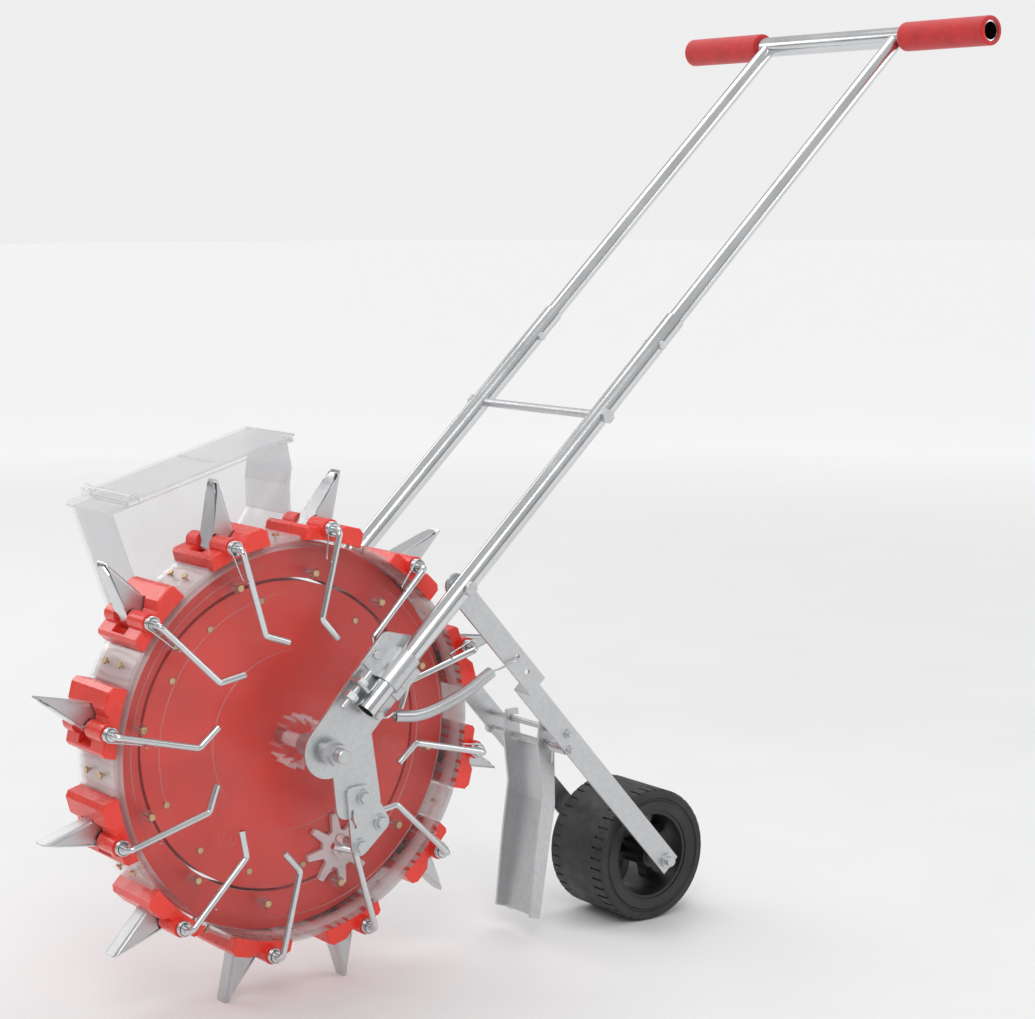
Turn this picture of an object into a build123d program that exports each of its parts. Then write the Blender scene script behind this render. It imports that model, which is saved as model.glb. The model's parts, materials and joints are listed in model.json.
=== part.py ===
from build123d import *
import os
from math import atan2, cos, degrees, hypot, radians, sin

# A hand-pushed rotary seeder. A wheel carries twelve duckbill spouts round its rim. A clear
# hopper feeds a fixed seed drum inside the wheel, a star wheel turns the metering roller, and a
# press roller and a coverer trail on a hinged arm. Twin tubes rise to a handlebar.
#
# Millimetres. +X points back towards the handle, +Y to the hopper side, +Z up. The origin is
# on the ground under the middle of the bounding box. Outlines are drawn about the wheel axle.

os.makedirs("parts", exist_ok=True)

# --- driving dimensions -------------------------------------------------------------------
SPOUTS = 12
PITCH = 360 / SPOUTS
TIP_R = 261.3            # axle to the tip of a fixed jaw
PIVOT_R = 204.3          # axle to a flap pivot, measured along the spout's own radius
PIVOT_T = 17.4           # flap pivot beside the spout's radius
RIM_R = 193.0
DRUM_R = 150.0
HALF_WIDTH = 38.0        # wheel and duckbill blocks, each side of the middle
AXLE_R = 7.0
FIT = 0.05               # running clearance, radial
SNUG = 0.02              # clearance of a fastener in its own hole

HANDLE_ANGLE = 43.4
TUBE_Y = 101.0
TUBE_N = 2.5             # tube centre line above the axle, square to the tube
TUBE_R = 10.0
INNER_TUBE_R = 8.5
TUBE_WALL = 1.2
TUBE_START = 50.0
TUBE_END = 566.0
BAR_S = 993.0
BAR_R = 11.0
BAR_HALF = 232.0
GRIP_R = 15.5
SLIDE_TRAVEL = 80.0

PLATE_IN = 88.0          # inner face of each side plate
PLATE_T = 3.0
ARM_PIVOT_S = 205.0
ARM_WIDTH = 24.0
ARM_T = 3.0
ARM_OUT_Y = 90.0         # outer face of the upper run
ARM_LOW_Y = 67.5         # outer face of the lower run
ARM_STEP_U = 148.0
ROLLER_X = 432.8
ROLLER_R = 70.8
ROLLER_HALF = 44.0

HOPPER_WALL = 2.2
HOPPER_NEAR = 42.0
HOPPER_FAR = 129.0
LID_ANGLE = 16.2

JAW_WALL = 1.5
JAW_HALF = 10.5
JAW_BASE_R = 197.0
JAW_BASE_T = -5.5
JAW_TIP_T = -2.5
STAR_X = 62.0
STAR_Z = -121.4
STAR_TEETH = 8

# The two lowest tips stand level, so the spout radii are turned by the tip corners' own angles.
tip_outer = degrees(atan2(JAW_TIP_T, TIP_R))
tip_inner = degrees(atan2(JAW_TIP_T + JAW_WALL, TIP_R))
PHASE = 105 - (tip_outer + tip_inner) / 2
AXLE_Z = hypot(TIP_R, JAW_TIP_T) * cos(radians(PITCH / 2 + (tip_outer - tip_inner) / 2))
FRONT_X = -252.6
BACK_X = BAR_S * cos(radians(HANDLE_ANGLE)) - TUBE_N * sin(radians(HANDLE_ANGLE)) + GRIP_R
AXLE_X = -(FRONT_X + BACK_X) / 2
ROLLER_Z = ROLLER_R - AXLE_Z

WHEEL_AXIS = Axis((AXLE_X, 0, AXLE_Z), (0, -1, 0))
HANDLE_COS = cos(radians(HANDLE_ANGLE))
HANDLE_SIN = sin(radians(HANDLE_ANGLE))
ARM_X = ARM_PIVOT_S * HANDLE_COS - TUBE_N * HANDLE_SIN
ARM_Z = ARM_PIVOT_S * HANDLE_SIN + TUBE_N * HANDLE_COS
ARM_ANGLE = degrees(atan2(ROLLER_Z - ARM_Z, ROLLER_X - ARM_X))
ARM_LENGTH = hypot(ROLLER_X - ARM_X, ROLLER_Z - ARM_Z)


# --- helpers --------------------------------------------------------------------------------
def side(y, angle=0.0, x=0.0, z=0.0):
    """Side-view plane at width y, about the axle: local z points to the near side."""
    a = radians(angle)
    return Plane(origin=(AXLE_X + x, y, AXLE_Z + z), x_dir=(cos(a), 0, sin(a)), z_dir=(0, -1, 0))


def across_tube(s, y=-TUBE_Y):
    """Plane square to a handle tube at distance s: local x along +Y, local y up off the tube."""
    x = AXLE_X + s * HANDLE_COS - TUBE_N * HANDLE_SIN
    z = AXLE_Z + s * HANDLE_SIN + TUBE_N * HANDLE_COS
    return Plane(origin=(x, y, z), x_dir=(0, 1, 0), z_dir=(HANDLE_COS, 0, HANDLE_SIN))


def arm_side(y):
    """Side-view plane along the rear arm, from its pivot."""
    return side(y, ARM_ANGLE, ARM_X, ARM_Z)


def section(x=0.0, z=0.0):
    """Plane of a profile turned about a Y axis: local x is the radius, local y the width."""
    return Plane(origin=(AXLE_X + x, 0, AXLE_Z + z), x_dir=(1, 0, 0), z_dir=(0, 0, 1))


def turning_axis(x=0.0, z=0.0):
    return Axis((AXLE_X + x, 0, AXLE_Z + z), (0, 1, 0))


def at(r, y, t):
    """Point of a spout that lies along +X."""
    return (AXLE_X + r, y, AXLE_Z + t)


def round_wheel(shape, first=PHASE):
    """Twelve copies of a shape round the wheel axle."""
    return [shape.rotate(WHEEL_AXIS, first - PITCH * k) for k in range(SPOUTS)]


def both_sides(shape):
    return [shape, mirror(shape, about=Plane.XZ)]


def polar(r, angle):
    return (r * cos(radians(angle)), r * sin(radians(angle)))


def save(shape, name):
    shape.label = name
    export_step(shape, f"parts/{name}.step")


# --- side plates, axle and their hardware ---------------------------------------------------
CLAMP_S = 97.5
CLAMP_START = 82.0
CLAMP_LENGTH = 36.0
CLAMP_SCREWS = [(CLAMP_S, TUBE_N + 24), (CLAMP_S, TUBE_N - 19)]
SPRING_SCREW = (58, -16)
SCREW_R = 2.4
TAB_S = 63.0
TAB_N = 24.0
ADJUST_Y = -99.5
ADJUST_R = 3.0

with BuildPart() as main_plate_left:
    with BuildSketch(side(-PLATE_IN, HANDLE_ANGLE)) as outline:
        Circle(26)
        with Locations((113, 23)):
            Circle(12)
        with Locations((127, 3)):
            Circle(11)
        with Locations((96, -14)):
            Circle(9)
        make_hull()
    extrude(amount=PLATE_T)
    with BuildSketch(side(-PLATE_IN - PLATE_T, HANDLE_ANGLE)):
        with Locations((TAB_S, TAB_N)):
            Rectangle(3, 17)
    extrude(amount=16)
    with BuildSketch(side(-PLATE_IN + 1, HANDLE_ANGLE)):
        Circle(AXLE_R + SNUG)
        with Locations(*CLAMP_SCREWS, SPRING_SCREW):
            Circle(SCREW_R + SNUG)
    extrude(amount=PLATE_T + 2, mode=Mode.SUBTRACT)
    with BuildSketch(Plane(origin=across_tube(TAB_S - 10).origin, x_dir=(0, 1, 0),
                           z_dir=(HANDLE_COS, 0, HANDLE_SIN))):
        with Locations((ADJUST_Y + TUBE_Y, TAB_N - TUBE_N)):
            Circle(ADJUST_R + SNUG)
    extrude(amount=20, mode=Mode.SUBTRACT)
save(main_plate_left.part, "main_plate_left")
save(mirror(main_plate_left.part, about=Plane.XZ), "main_plate_right")

with BuildPart() as adjuster:
    with BuildSketch(across_tube(36)):
        with Locations((ADJUST_Y + TUBE_Y, TAB_N - TUBE_N)):
            Circle(ADJUST_R)
    extrude(amount=44)
    with BuildSketch(across_tube(46)):
        with Locations((ADJUST_Y + TUBE_Y, TAB_N - TUBE_N)):
            RegularPolygon(radius=7, side_count=6)
    extrude(amount=7)
    with BuildSketch(across_tube(TAB_S + 1.6)):
        with Locations((ADJUST_Y + TUBE_Y, TAB_N - TUBE_N)):
            RegularPolygon(radius=6, side_count=6)
    extrude(amount=5)
with BuildPart() as adjuster_bolts:
    add(both_sides(adjuster.part))
save(adjuster_bolts.part, "adjuster_bolts")

# A saddle pressed over the tube, with a flat wing each side.
SADDLE_R = TUBE_R + 2.5
WING_T = 2.5
PLATE_GAP = TUBE_Y - PLATE_IN - PLATE_T
with BuildPart() as saddle:
    with BuildSketch(across_tube(CLAMP_START)):
        Circle(SADDLE_R)
        with Locations((PLATE_GAP / 2, 0)):
            Rectangle(PLATE_GAP, 2 * SADDLE_R)
        with Locations((PLATE_GAP - WING_T / 2, 1.5)):
            Rectangle(WING_T, 56)
        Circle(TUBE_R + SNUG, mode=Mode.SUBTRACT)
        with Locations((PLATE_GAP / 2, 0)):
            Rectangle(PLATE_GAP, 2 * (TUBE_R + SNUG), mode=Mode.SUBTRACT)
        with Locations((PLATE_GAP + SADDLE_R, 0)):
            Rectangle(2 * SADDLE_R, 2 * SADDLE_R, mode=Mode.SUBTRACT)
    extrude(amount=CLAMP_LENGTH)
    with BuildSketch(side(-PLATE_IN, HANDLE_ANGLE)):
        with Locations(*CLAMP_SCREWS):
            Circle(SCREW_R + SNUG)
    extrude(amount=20, mode=Mode.SUBTRACT)
with BuildPart() as saddle_clamps:
    add(both_sides(saddle.part))
save(saddle_clamps.part, "saddle_clamps")


def screw(y_head, y_end, points, head_r=4.5, head_h=3.0, shank_r=SCREW_R, nut_y=None):
    """Pan-head screws along Y in the handle's own frame, with a nut where nut_y is given."""
    with BuildPart() as made:
        with BuildSketch(side(y_head, HANDLE_ANGLE)):
            with Locations(*points):
                Circle(head_r)
        extrude(amount=head_h)
        fillet(made.faces().sort_by(Axis.Y)[0].edges(), radius=head_h * 0.45)
        with BuildSketch(side(y_end, HANDLE_ANGLE)):
            with Locations(*points):
                Circle(shank_r)
        extrude(amount=y_end - y_head)
        if nut_y is not None:
            with BuildSketch(side(nut_y, HANDLE_ANGLE)):
                with Locations(*points):
                    RegularPolygon(radius=shank_r * 1.9, side_count=6)
            extrude(amount=shank_r * 1.5)
    return made.part


wing_face = -PLATE_IN - PLATE_T - WING_T
with BuildPart() as clamp_screws:
    for point in CLAMP_SCREWS:
        add(both_sides(screw(wing_face, -PLATE_IN + 5, [point], nut_y=-PLATE_IN + 3.6)))
    add(both_sides(screw(-PLATE_IN - PLATE_T - 4, -PLATE_IN + 5, [SPRING_SCREW], nut_y=-PLATE_IN + 3.6)))
save(clamp_screws.part, "clamp_screws")

AXLE_END = 120.0
GROOVE_Y = 111.5
with BuildPart() as axle:
    with BuildSketch(side(AXLE_END)):
        Circle(AXLE_R)
    extrude(amount=2 * AXLE_END)
    chamfer(axle.edges().filter_by(GeomType.CIRCLE), length=1.2)
    for groove_y in (GROOVE_Y, 1 - GROOVE_Y):
        with BuildSketch(side(groove_y)):
            Circle(AXLE_R + 1)
            Circle(AXLE_R - 0.8, mode=Mode.SUBTRACT)
        extrude(amount=1, mode=Mode.SUBTRACT)
save(axle.part, "axle")

SLEEVE_END = 99.0
WASHER_END = 101.0
NUT_END = 110.0
with BuildPart() as axle_nut:
    with BuildSketch(side(-PLATE_IN - PLATE_T)):
        Circle(9.5)
        Circle(AXLE_R + SNUG, mode=Mode.SUBTRACT)
    extrude(amount=SLEEVE_END - PLATE_IN - PLATE_T)
    with BuildSketch(side(-SLEEVE_END)):
        Circle(12.5)
        Circle(AXLE_R + SNUG, mode=Mode.SUBTRACT)
    extrude(amount=WASHER_END - SLEEVE_END)
    with BuildSketch(side(-WASHER_END)):
        RegularPolygon(radius=11, side_count=6)
        Circle(AXLE_R + SNUG, mode=Mode.SUBTRACT)
    extrude(amount=NUT_END - WASHER_END)
with BuildPart() as axle_nuts:
    add(both_sides(axle_nut.part))
save(axle_nuts.part, "axle_nuts")

HUB_END = 50.0
DRUM_NEAR = -3.0
DRUM_FAR = 36.0
with BuildPart() as axle_spacers:
    with BuildSketch(side(-HUB_END - 0.3)):
        Circle(11)
        Circle(AXLE_R + SNUG, mode=Mode.SUBTRACT)
    extrude(amount=PLATE_IN - HUB_END - 0.3)
    with BuildSketch(side(PLATE_IN)):
        Circle(11)
        Circle(AXLE_R + SNUG, mode=Mode.SUBTRACT)
    extrude(amount=PLATE_IN - DRUM_FAR)
save(axle_spacers.part, "axle_spacers")

# --- cam bracket, cam plate and the rollers that open the flaps ------------------------------
BRACKET_T = 3.0
CLAMP_BOLT = (38.4, -49.7)
ROLLER_BOLTS = [polar(95.5, -53.1), polar(102.2, -70.6)]
CAM_ROLLER_R = [6.0, 4.8]
CAM_SHANK_R = 3.0

with BuildPart() as cam_bracket:
    with BuildSketch(side(-PLATE_IN + BRACKET_T)):
        with Locations((20, 0), (34, 6)):
            Circle(16)
        with Locations((21, -58), (48, -54)):
            Circle(11)
        make_hull()
        Circle(11.5, mode=Mode.SUBTRACT)
        with Locations(CLAMP_BOLT):
            Circle(CAM_SHANK_R + SNUG, mode=Mode.SUBTRACT)
        with Locations((SPRING_SCREW[0] * HANDLE_COS - SPRING_SCREW[1] * HANDLE_SIN,
                        SPRING_SCREW[0] * HANDLE_SIN + SPRING_SCREW[1] * HANDLE_COS)):
            Circle(7, mode=Mode.SUBTRACT)
    extrude(amount=BRACKET_T)
save(cam_bracket.part, "cam_bracket")

with BuildPart() as cam_plate:
    with BuildSketch(side(-PLATE_IN)):
        with Locations((26, -44)):
            Circle(6)
        with Locations(CLAMP_BOLT):
            Circle(12.5)
        with Locations(*ROLLER_BOLTS):
            Circle(9.5)
        make_hull()
        with Locations(CLAMP_BOLT, *ROLLER_BOLTS):
            Circle(CAM_SHANK_R + SNUG, mode=Mode.SUBTRACT)
        with BuildLine(mode=Mode.PRIVATE) as slot_line:
            CenterArc((42, -66), 17, 165, 55)
        SlotArc(arc=slot_line.edge(), height=3, mode=Mode.SUBTRACT)
    extrude(amount=PLATE_T)
save(cam_plate.part, "cam_plate")

ROLLER_OUT = -66.0
ROLLER_IN = -56.0
with BuildPart() as cam_bolts:
    for point in [CLAMP_BOLT, *ROLLER_BOLTS]:
        end = -80.0 if point == CLAMP_BOLT else ROLLER_IN + 2.5
        with BuildSketch(side(-PLATE_IN - PLATE_T)):
            with Locations(point):
                Circle(8)
        extrude(amount=1.6)
        with BuildSketch(side(-PLATE_IN - PLATE_T - 1.6)):
            with Locations(point):
                RegularPolygon(radius=6, side_count=6)
        extrude(amount=4)
        with BuildSketch(side(end)):
            with Locations(point):
                Circle(CAM_SHANK_R)
        extrude(amount=end + PLATE_IN + PLATE_T)
    with BuildSketch(side(ROLLER_OUT - 0.1)):
        with Locations(*ROLLER_BOLTS):
            Circle(4.5)
    extrude(amount=PLATE_IN + ROLLER_OUT - 0.1)
    with BuildSketch(side(ROLLER_IN + 2.5)):
        with Locations(*ROLLER_BOLTS):
            Circle(4.5)
    extrude(amount=2.4)
    with BuildSketch(side(-PLATE_IN + BRACKET_T + 4)):
        with Locations(CLAMP_BOLT):
            RegularPolygon(radius=6, side_count=6)
    extrude(amount=4)
save(cam_bolts.part, "cam_bolts")

for index, (centre, radius) in enumerate(zip(ROLLER_BOLTS, CAM_ROLLER_R), start=1):
    with BuildPart() as cam_roller:
        with BuildSketch(side(ROLLER_IN)):
            with Locations(centre):
                Circle(radius)
                Circle(CAM_SHANK_R + FIT, mode=Mode.SUBTRACT)
        extrude(amount=ROLLER_IN - ROLLER_OUT)
    save(cam_roller.part, f"cam_roller_{index}")

# --- handle tubes ----------------------------------------------------------------------------
BRACE_S = 433.0
BRACE_R = 4.5
LOCK_S = 531.0
LOCK_R = 2.5
PIVOT_BOLT_R = 4.0
with BuildPart() as lower_tube_left:
    with BuildSketch(across_tube(TUBE_START)):
        Circle(TUBE_R)
        Circle(TUBE_R - TUBE_WALL, mode=Mode.SUBTRACT)
    extrude(amount=TUBE_END - TUBE_START)
    with BuildSketch(side(-TUBE_Y + 15, HANDLE_ANGLE)):
        with Locations((ARM_PIVOT_S, TUBE_N)):
            Circle(PIVOT_BOLT_R + SNUG)
        with Locations((BRACE_S, TUBE_N)):
            Circle(BRACE_R + SNUG)
        with Locations((LOCK_S, TUBE_N)):
            Circle(LOCK_R + SNUG)
    extrude(amount=30, mode=Mode.SUBTRACT)
save(lower_tube_left.part, "lower_tube_left")
save(mirror(lower_tube_left.part, about=Plane.XZ), "lower_tube_right")

with BuildPart() as cross_brace:
    with BuildSketch(side(TUBE_Y + TUBE_R, HANDLE_ANGLE)):
        with Locations((BRACE_S, TUBE_N)):
            Circle(BRACE_R)
    extrude(amount=2 * (TUBE_Y + TUBE_R))
    for face_y in (TUBE_Y + TUBE_R + 5, -TUBE_Y - TUBE_R):
        with BuildSketch(side(face_y, HANDLE_ANGLE)):
            with Locations((BRACE_S, TUBE_N)):
                RegularPolygon(radius=7.5, side_count=6)
        extrude(amount=5)
save(cross_brace.part, "cross_brace")

tube_face = -TUBE_Y - TUBE_R
with BuildPart() as arm_bolt:
    add(screw(tube_face, -81.0, [(ARM_PIVOT_S, TUBE_N)], head_r=7, head_h=5, shank_r=PIVOT_BOLT_R))
    with BuildSketch(side(-ARM_OUT_Y - 0.1, HANDLE_ANGLE)):
        with Locations((ARM_PIVOT_S, TUBE_N)):
            Circle(8)
    extrude(amount=TUBE_Y - TUBE_R - ARM_OUT_Y - 0.1)
    with BuildSketch(side(-81.0, HANDLE_ANGLE)):
        with Locations((ARM_PIVOT_S, TUBE_N)):
            RegularPolygon(radius=7.5, side_count=6)
    extrude(amount=ARM_OUT_Y - ARM_T - 81.1)
lock_bolt = screw(tube_face, -TUBE_Y + TUBE_R, [(LOCK_S, TUBE_N)], head_r=4.5, shank_r=LOCK_R)
lock_nut = screw(-TUBE_Y + TUBE_R + 4, -TUBE_Y + TUBE_R + 4.1, [(LOCK_S, TUBE_N)], head_h=4, head_r=4.5)
with BuildPart() as tube_bolts:
    for piece in (arm_bolt.part, lock_bolt + lock_nut):
        add(both_sides(piece))
save(tube_bolts.part, "tube_bolts")

UPPER_START = 442.0
with BuildPart() as upper_tube_left:
    with BuildSketch(across_tube(UPPER_START)):
        Circle(INNER_TUBE_R)
        Circle(INNER_TUBE_R - TUBE_WALL, mode=Mode.SUBTRACT)
    extrude(amount=BAR_S - UPPER_START)
    with BuildSketch(side(-TUBE_Y + 15, HANDLE_ANGLE)):
        with Locations((BAR_S, TUBE_N)):
            Circle(BAR_R)
        with Locations((LOCK_S - SLIDE_TRAVEL / 2, TUBE_N)):
            SlotOverall(SLIDE_TRAVEL + 2 * LOCK_R + 2, 2 * LOCK_R + 0.6)
    extrude(amount=30, mode=Mode.SUBTRACT)
save(upper_tube_left.part, "upper_tube_left")
save(mirror(upper_tube_left.part, about=Plane.XZ), "upper_tube_right")

with BuildPart() as crossbar:
    with BuildSketch(side(BAR_HALF, HANDLE_ANGLE)):
        with Locations((BAR_S, TUBE_N)):
            Circle(BAR_R)
            Circle(BAR_R - 1.7, mode=Mode.SUBTRACT)
    extrude(amount=2 * BAR_HALF)
save(crossbar.part, "crossbar")

GRIP_START = 112.0
with BuildPart() as grip_left:
    with BuildSketch(side(-GRIP_START, HANDLE_ANGLE)):
        with Locations((BAR_S, TUBE_N)):
            Circle(GRIP_R)
            Circle(BAR_R + SNUG, mode=Mode.SUBTRACT)
    extrude(amount=BAR_HALF + 2 - GRIP_START)
    fillet(grip_left.edges().filter_by(GeomType.CIRCLE).group_by(SortBy.RADIUS)[-1], radius=2.5)
save(grip_left.part, "grip_left")
save(mirror(grip_left.part, about=Plane.XZ), "grip_right")

# --- seed drum and metering ------------------------------------------------------------------
DRUM_WALL = 3.0
PORT = (-70.0, 78.0, -20.0, 104.0)       # low x, low z, high x, high z
SHAFT_R = 4.0
OUTLET_ANGLE = degrees(atan2(STAR_Z, STAR_X))
DRUM_SCREW_R = 134.0
DRUM_SCREW_ANGLES = [150, 176, 202, 228, 254, 280, 24, 50, 98, 124]


def port_box(y_far, depth, grow=0.0):
    """Sketch plane and size of the seed port between hopper and drum."""
    with BuildPart(mode=Mode.PRIVATE) as made:
        with BuildSketch(side(y_far)):
            with Locations(((PORT[0] + PORT[2]) / 2, (PORT[1] + PORT[3]) / 2)):
                Rectangle(PORT[2] - PORT[0] + 2 * grow, PORT[3] - PORT[1] + 2 * grow)
        extrude(amount=depth)
    return made.part


with BuildPart() as seed_drum:
    with BuildSketch(side(DRUM_FAR)):
        Circle(DRUM_R)
    extrude(amount=DRUM_FAR - DRUM_NEAR)
    with BuildSketch(side(DRUM_FAR - DRUM_WALL)):
        Circle(DRUM_R - DRUM_WALL)
        Circle(12, mode=Mode.SUBTRACT)
    extrude(amount=DRUM_FAR - DRUM_NEAR - 2 * DRUM_WALL, mode=Mode.SUBTRACT)
    with BuildSketch(side(DRUM_FAR + 1)):
        Circle(AXLE_R + SNUG)
    extrude(amount=DRUM_FAR - DRUM_NEAR + 2, mode=Mode.SUBTRACT)
    with BuildSketch(side(DRUM_NEAR + DRUM_WALL + 1)):
        with Locations((STAR_X, STAR_Z)):
            Circle(SHAFT_R + FIT)
    extrude(amount=DRUM_WALL + 2, mode=Mode.SUBTRACT)
    with BuildSketch(side(29, OUTLET_ANGLE)):
        with Locations((DRUM_R - 1, 0)):
            Rectangle(8, 18)
    extrude(amount=25, mode=Mode.SUBTRACT)
    add(port_box(DRUM_FAR + 1, DRUM_WALL + 2), mode=Mode.SUBTRACT)
    with BuildSketch(side(DRUM_NEAR)):
        with Locations(*[polar(DRUM_SCREW_R, a) for a in DRUM_SCREW_ANGLES]):
            Circle(1.6 + SNUG)
    extrude(amount=-DRUM_WALL, mode=Mode.SUBTRACT)
save(seed_drum.part, "seed_drum")

with BuildPart() as drum_screws:
    for angle in DRUM_SCREW_ANGLES:
        spot = polar(DRUM_SCREW_R, angle - HANDLE_ANGLE)
        add(screw(DRUM_NEAR, DRUM_NEAR + DRUM_WALL + 3, [spot], head_r=3.2, head_h=1.6, shank_r=1.6))
save(drum_screws.part, "drum_screws")

STAR_FAR = -3.6          # the star turns between the drum's near wall and the drive posts
STAR_THICK = 5.0
STAR_HUB = 4.4
STAR_HUB_R = 9.0
STAR_R = 36.0
STAR_ROOT = 19.0
STAR_PHASE = 8.0
star_points = []
for tooth in range(STAR_TEETH):
    middle = STAR_PHASE + tooth * 360 / STAR_TEETH
    star_points += [polar(STAR_ROOT, middle - 14.5), polar(STAR_R, middle - 4.8)]
    star_points += [polar(STAR_R, middle + 4.8), polar(STAR_ROOT, middle + 14.5)]
with BuildPart() as star_wheel:
    with BuildSketch(side(STAR_FAR, 0, STAR_X, STAR_Z)):
        with BuildLine():
            Polyline(*star_points, close=True)
        make_face()
        Circle(SHAFT_R + SNUG, mode=Mode.SUBTRACT)
    extrude(amount=STAR_THICK)
    fillet(star_wheel.edges().filter_by(Axis.Y), radius=1.2)
    with BuildSketch(side(STAR_FAR - STAR_THICK, 0, STAR_X, STAR_Z)):
        Circle(STAR_HUB_R)
        Circle(SHAFT_R + SNUG, mode=Mode.SUBTRACT)
    extrude(amount=STAR_HUB)
save(star_wheel.part, "star_wheel")

METER_R = 10.0
METER_POCKETS = 8
with BuildPart() as metering_roller:
    with BuildSketch(side(DRUM_FAR - DRUM_WALL - 0.2, 0, STAR_X, STAR_Z)):
        Circle(SHAFT_R)
    extrude(amount=DRUM_FAR - DRUM_WALL - 0.2 + 18)
    with BuildSketch(side(29, 0, STAR_X, STAR_Z)):
        Circle(METER_R)
        with PolarLocations(METER_R, METER_POCKETS):
            Circle(2.2, mode=Mode.SUBTRACT)
    extrude(amount=24)
save(metering_roller.part, "metering_roller")

# --- hopper and lid --------------------------------------------------------------------------
HOPPER_FRONT = (-152.0, 223.0)
TOP_LENGTH = 198.2
RIM_T = 3.0
HINGE_P = 22.0
HINGE_Q = 7.0
HINGE_R = 2.0


def top_side(y):
    """Side-view plane along the hopper's sloping top."""
    return side(y, LID_ANGLE, *HOPPER_FRONT)


def hopper_core(near, far, shrink):
    """The hopper's filled shape between two widths, drawn in by shrink."""
    with BuildPart(mode=Mode.PRIVATE) as made:
        with BuildSketch(side(far)) as profile:
            with BuildLine():
                Polyline((38.3, 278.2), HOPPER_FRONT, (-101, 75), (-8, 75), (-8, 132), (42, 205),
                         (41, 234), (43.6, 253), close=True)
            make_face()
            if shrink:
                offset(amount=-shrink, kind=Kind.INTERSECTION)
        extrude(amount=far - near)
    return made.part


with BuildPart() as hopper:
    add(hopper_core(HOPPER_NEAR, HOPPER_FAR, 0))
    add(port_box(HOPPER_NEAR, HOPPER_NEAR - DRUM_FAR, HOPPER_WALL))
    with BuildSketch(top_side(131)):
        with Locations((TOP_LENGTH / 2, RIM_T / 2 - 0.5)):
            Rectangle(TOP_LENGTH + 8, RIM_T + 1)
    extrude(amount=95)
    add(hopper_core(HOPPER_NEAR + HOPPER_WALL, HOPPER_FAR - HOPPER_WALL, HOPPER_WALL), mode=Mode.SUBTRACT)
    with BuildSketch(top_side(HOPPER_FAR - 4)):
        with Locations((TOP_LENGTH / 2 + 8, 0)):
            Rectangle(TOP_LENGTH - 26, 12)
    extrude(amount=HOPPER_FAR - HOPPER_NEAR - 8, mode=Mode.SUBTRACT)
    add(port_box(HOPPER_NEAR + HOPPER_WALL + 1, 10), mode=Mode.SUBTRACT)
    for lug_y in (134, 36):
        with BuildSketch(top_side(lug_y)):
            with Locations((HINGE_P, HINGE_Q)):
                Circle(5)
            with Locations((HINGE_P, HINGE_Q / 2)):
                Rectangle(10, HINGE_Q)
            with Locations((HINGE_P, HINGE_Q)):
                Circle(HINGE_R + FIT, mode=Mode.SUBTRACT)
        extrude(amount=3)
save(hopper.part, "hopper")

with BuildPart() as hopper_lid:
    with BuildSketch(top_side(130.7)):
        with Locations((HINGE_P, HINGE_Q)):
            Circle(3.4)
        with Locations(((HINGE_P + TOP_LENGTH + 7) / 2, RIM_T + 0.4 + 1.25)):
            Rectangle(TOP_LENGTH + 7 - HINGE_P, 2.5)
    extrude(amount=94.4)
    with BuildSketch(top_side(134)):
        with Locations((HINGE_P, HINGE_Q)):
            Circle(HINGE_R)
    extrude(amount=101)
    with BuildSketch(top_side(120)):
        with Locations((TOP_LENGTH * 0.6, RIM_T + 3.4)):
            Rectangle(2, 1.6)
    extrude(amount=73)
save(hopper_lid.part, "hopper_lid")

# --- wheel covers and funnel ring --------------------------------------------------------------
WEB_NEAR = -24.0
WEB_BACK = -21.5
POST_R = 160.0
POST_PHASE = PHASE + 4.2
POST_OUT = 5.5
POST_END = -9.2          # just short of the star, so that the two pass freely
SPACER_ANGLE = 17.3
COVER_R = 186.0
RIM_SCREW_Y = 14.0
RIM_SCREW_R = 1.5
MARKS = 3

with BuildPart() as seed_slots:
    with BuildSketch(side(8)):
        with Locations((RIM_R, 3.5)):
            Rectangle(12, 18)
    extrude(amount=16)
with BuildPart() as rim_drills:
    for screw_y in (-RIM_SCREW_Y, RIM_SCREW_Y):
        with BuildSketch(Plane(origin=(AXLE_X + RIM_R - 6, screw_y, AXLE_Z), z_dir=(1, 0, 0))):
            Circle(RIM_SCREW_R + SNUG)
        extrude(amount=14)
rim_cuts = round_wheel(seed_slots.part) + round_wheel(rim_drills.part, PHASE + SPACER_ANGLE)

with BuildPart() as near_cover:
    with BuildSketch(section()):
        with BuildLine():
            Polyline((AXLE_R + FIT, -HUB_END), (21, -HUB_END), (23, WEB_NEAR), (COVER_R, WEB_NEAR),
                     (COVER_R, WEB_BACK), (22, WEB_BACK), (20, -18), (AXLE_R + FIT, -18), close=True)
        make_face()
        for ridge_r in (87, 143, 172):
            with Locations((ridge_r, WEB_NEAR - 0.7)):
                Rectangle(1.8, 1.8)
    revolve(axis=turning_axis())
    with BuildSketch(side(WEB_NEAR + 0.5)):
        with PolarLocations(113, MARKS, start_angle=-10):
            Circle(10)
            Circle(9, mode=Mode.SUBTRACT)
            Circle(5.5)
            Circle(4.6, mode=Mode.SUBTRACT)
    extrude(amount=1.2)
    with BuildSketch(side(WEB_BACK - 1)):
        with PolarLocations(21.5, 16):
            Rectangle(9, 2)
    extrude(amount=23)
    with BuildSketch(side(WEB_BACK + 1)):
        with PolarLocations(POST_R, SPOUTS, start_angle=POST_PHASE):
            Circle(1.6 + SNUG)
    extrude(amount=5, mode=Mode.SUBTRACT)
save(near_cover.part, "near_cover")

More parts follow.
